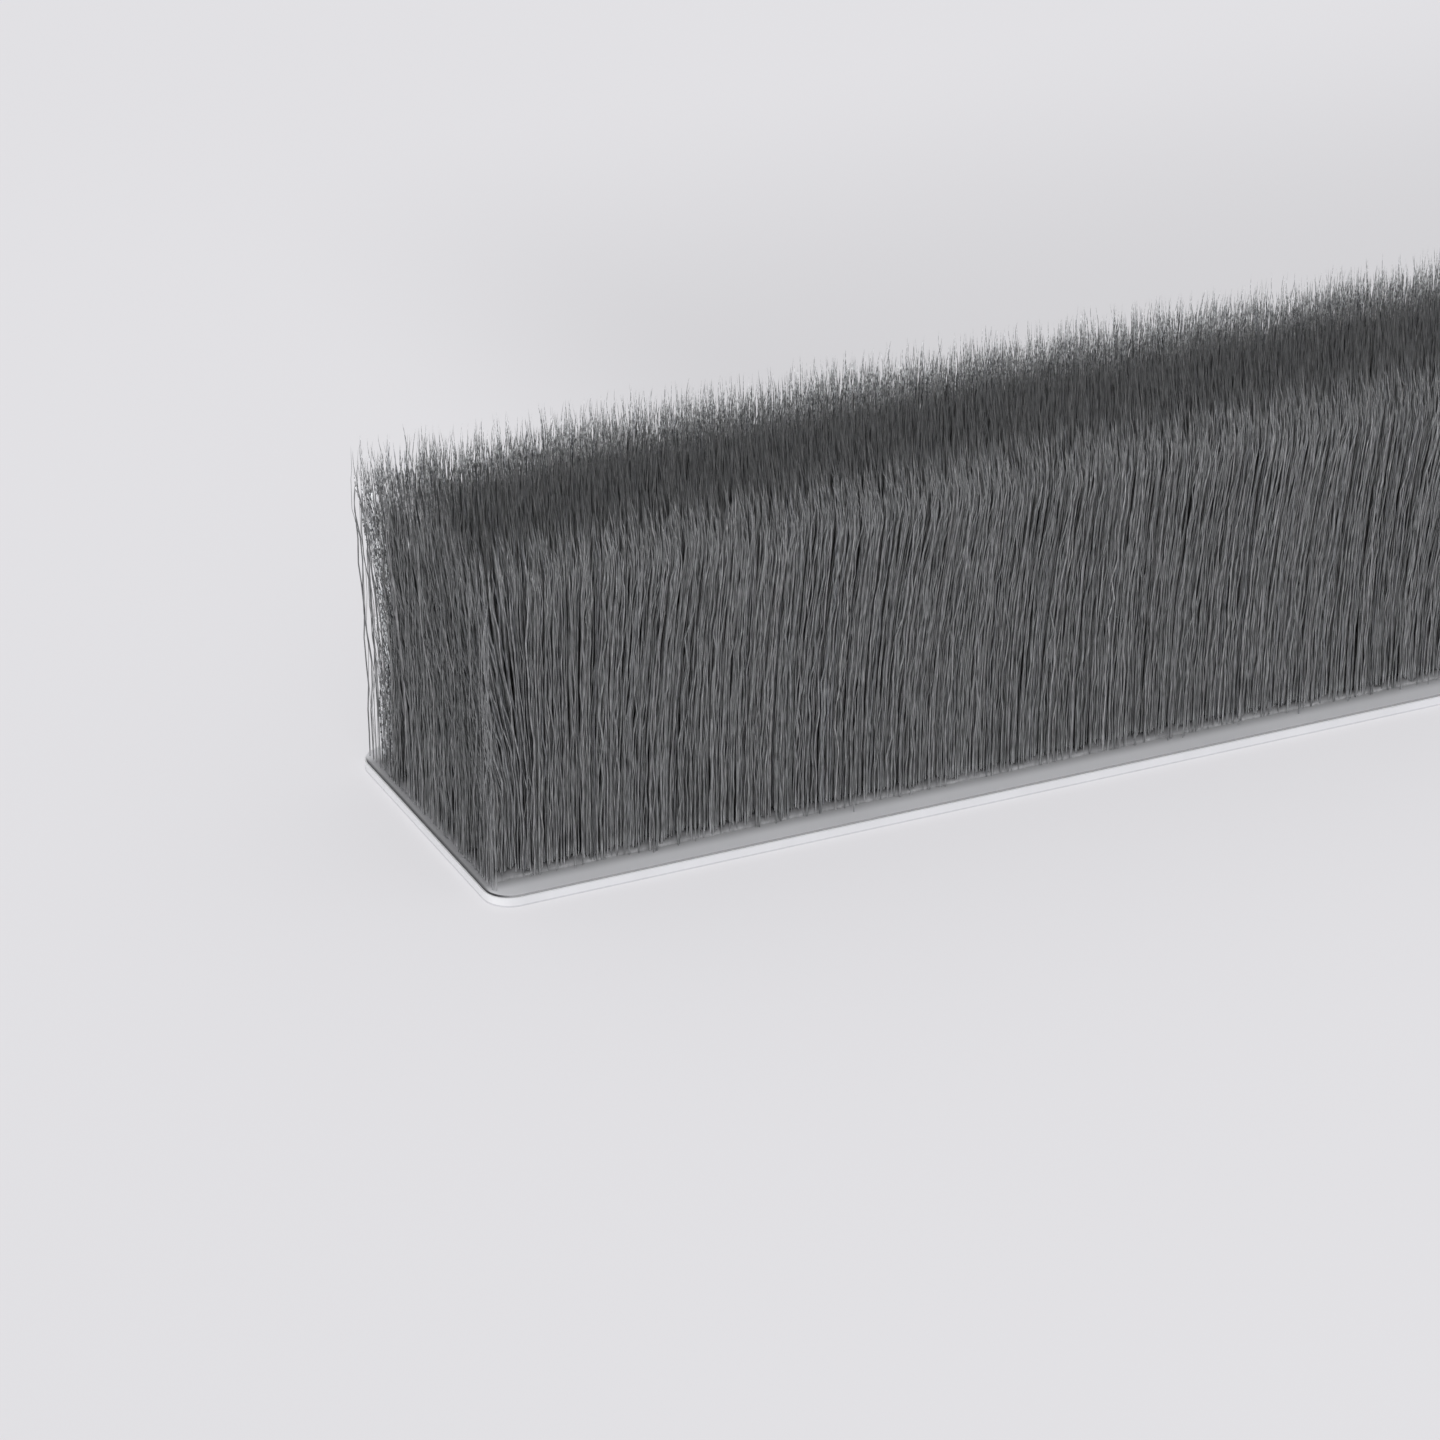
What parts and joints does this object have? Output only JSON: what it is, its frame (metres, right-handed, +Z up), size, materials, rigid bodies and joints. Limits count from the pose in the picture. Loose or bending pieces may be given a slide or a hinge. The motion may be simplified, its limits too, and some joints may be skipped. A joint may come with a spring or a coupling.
{
  "type": "brush seal strip",
  "caption": "Self-adhesive brush seal strip: a dense block of upright grey pile fibres on a thin, flat, round-cornered backing tape.",
  "frame": {"origin": "middle of the strip's underside", "axes": "+X along the strip, +Y across it, +Z up through the pile"},
  "size_m": [0.06, 0.009, 0.009],
  "materials": {
    "release_liner": "thin white siliconed film",
    "adhesive_tape": "white double-sided tape, matt cut edge",
    "backing_film": "smooth grey polypropylene film with a soft sheen",
    "pile_fibre": "matt grey polypropylene fibre, sheared square"
  },
  "bodies": {
    "root": {"release_liner": "release_liner", "adhesive_tape": "adhesive_tape", "backing_strip": "backing_film", "pile_row_1": "pile_fibre", "pile_row_2": "pile_fibre", "pile_row_3": "pile_fibre", "pile_row_4": "pile_fibre", "pile_row_5": "pile_fibre", "pile_row_6": "pile_fibre", "pile_row_7": "pile_fibre"}
  },
  "joints": []
}
